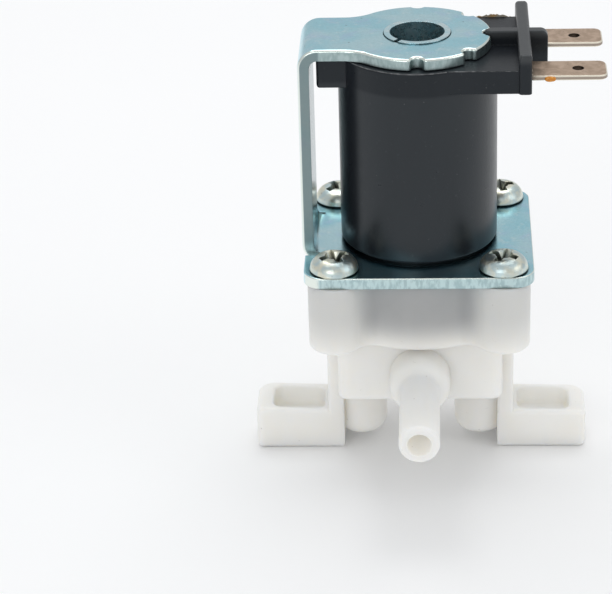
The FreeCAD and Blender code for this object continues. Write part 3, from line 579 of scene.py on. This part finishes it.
def moulding_flash():
    """Flash left along the parting lines of the coil, and varnish where the blades leave it."""
    grey, ochre, slot = grey_flash("flash_grey"), flash_resin("flash_ochre"), "coil_plastic"
    rim = rim_path(COIL_R - 0.1, COIL_TOP_Z - 0.17, -152, -22, 150)
    ragged_lip("flash_coil_rim", rim, 0.15, 0.07, 3, grey)
    y, z = -COIL_BLOCK_Y, COIL_TOP_Z - 0.08
    front = straight_path((4.8, y, z), (15.4, y, z), (0, -1, 0), 60)
    ragged_lip("flash_block_front", front, 0.16, 0.06, 5, grey)
    y, z = COIL_BLOCK_Y - 0.1, COIL_TOP_Z - 0.1
    back = straight_path((5.2, y, z), (14.8, y, z), (0, 1, 0), 40)
    ragged_lip("flash_block_back", back, 0.62, 0.14, 11, ochre)
    x, z, half = BARRIER_END_X - 0.05, BLADE_TOP_Z - 0.05, BLADE_HALF_W - 0.25
    for name, y, seed in (("front", -BLADE_Y, 7), ("rear", BLADE_Y, 8)):
        root = straight_path((x, y - half, z), (x, y + half, z), (1, 0, 0), 30)
        ragged_lip("varnish_root_" + name, root, 0.32, 0.28, seed, ochre)


def varnish_drop():
    """Hardened drop of coil varnish on the front edge of the front blade."""
    half_x, half_y, half_z = 0.95, 0.30, 0.46
    centre = Vector((20.4, -BLADE_Y - BLADE_HALF_W - 0.07, BLADE_TOP_Z - 0.48))
    mesh = bmesh.new()
    bmesh.ops.create_icosphere(mesh, subdivisions=4, radius=1.0)
    for vert in mesh.verts:
        x, y, z = vert.co
        swell = 1.0 + 0.12 * math.sin(3.0 * x + 1.0) * math.cos(2.0 * z) - 0.10 * x
        vert.co = (centre + Vector((x * half_x, y * half_y, z * half_z)) * swell) * MM
    mesh_piece("varnish_drop", mesh, amber("varnish_amber"))


def return_spring(material):
    """Return spring with closed coils at both ends."""
    low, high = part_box("plunger_spring")
    wire, turns, closed, closed_pitch = 0.25 * MM, 6, 0.75, 0.56 * MM
    radius = (high.x - low.x) / 2 - wire
    start, height = low.z + wire, high.z - low.z - 2 * wire
    open_pitch = (height - 2 * closed * closed_pitch) / (turns - 2 * closed)
    steps, sides = 40, 10
    rings = []
    for n in range(turns * steps + 1):
        done = n / steps
        opened = min(max(done - closed, 0), turns - 2 * closed)
        z = start + opened * open_pitch + (done - opened) * closed_pitch
        out = around(360 * done)
        centre = out * radius + UP * z
        angles = [2 * math.pi * k / sides for k in range(sides)]
        rings.append([centre + out * wire * math.cos(a) + UP * wire * math.sin(a) for a in angles])
    piece = solid_from_rings("return_spring", rings, material)
    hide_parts("plunger_spring")
    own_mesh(piece)


def rubber_diaphragm(material):
    """Rubber disc with a clamped bead, a thin web and a thick centre."""
    low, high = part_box("diaphragm")
    hub, centre, web_in, bead, rim = 1.2, 5.0, 8.8, 10.0, high.x / MM
    top = (high.z - low.z) / MM
    centre_top, ledge, web_low, web_high = 1.49, 1.69, 2.04, 2.74
    profile = [(hub, 0), (centre, 0), (centre + 0.8, 0.49), (web_in, web_low), (bead, web_low),
               (bead, ledge), (rim, ledge), (rim, top), (bead, top), (bead, web_high),
               (web_in - 0.1, web_high), (centre + 0.5, centre_top), (hub, centre_top)]
    steps = 96
    rings = []
    for n in range(steps):
        out = around(360 * n / steps)
        rings.append([out * r * MM + UP * (low.z + z * MM) for r, z in profile])
    piece = solid_from_rings("rubber_diaphragm", rings, material,
                             closed=True, smooth=False)
    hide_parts("diaphragm")
    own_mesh(piece)


# ---- Floor and lights ----
LIGHT_AIM = Vector((0, 0, 0.035))     # the middle of the valve


def make_floor():
    """White paper just below the valve."""
    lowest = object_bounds()[0][2]
    mesh = bmesh.new()
    bmesh.ops.create_grid(mesh, x_segments=24, y_segments=24, size=3.0)
    floor = mesh_object("floor", mesh, floor_paper("floor_paper"))
    floor.location.z = lowest - 0.02 * MM


def area_light(name, at, size_x, size_y, watts):
    """Softbox that points at the valve."""
    data = bpy.data.lights.new(name, "AREA")
    data.shape = "RECTANGLE"
    data.size = size_x
    data.size_y = size_y
    data.energy = watts
    light = bpy.data.objects.new(name, data)
    light.location = at
    light.rotation_euler = (LIGHT_AIM - Vector(at)).to_track_quat("-Z", "Y").to_euler()
    bpy.context.scene.collection.objects.link(light)


def make_lights():
    """Bright even surroundings with three softboxes."""
    world = bpy.data.worlds.new("studio")
    world.use_nodes = True
    background = world.node_tree.nodes["Background"]
    background.inputs["Color"].default_value = (0.965, 0.98, 1.0, 1.0)
    background.inputs["Strength"].default_value = 0.62
    bpy.context.scene.world = world
    area_light("softbox_top", (0.0, 0.25, 0.75), 0.7, 0.6, 2.6)
    area_light("softbox_right", (0.65, -0.25, 0.45), 0.4, 0.5, 0.55)
    area_light("softbox_front", (-0.25, -0.75, 0.35), 0.5, 0.4, 1.0)
    bpy.context.scene.view_settings.view_transform = "Standard"


def main():
    make_camera()
    finishes = make_finishes()
    dress_nodes(finishes)
    moulding_flash()
    varnish_drop()
    return_spring(finishes["spring_steel"])
    rubber_diaphragm(finishes["diaphragm_rubber"])
    make_floor()
    make_lights()


main()
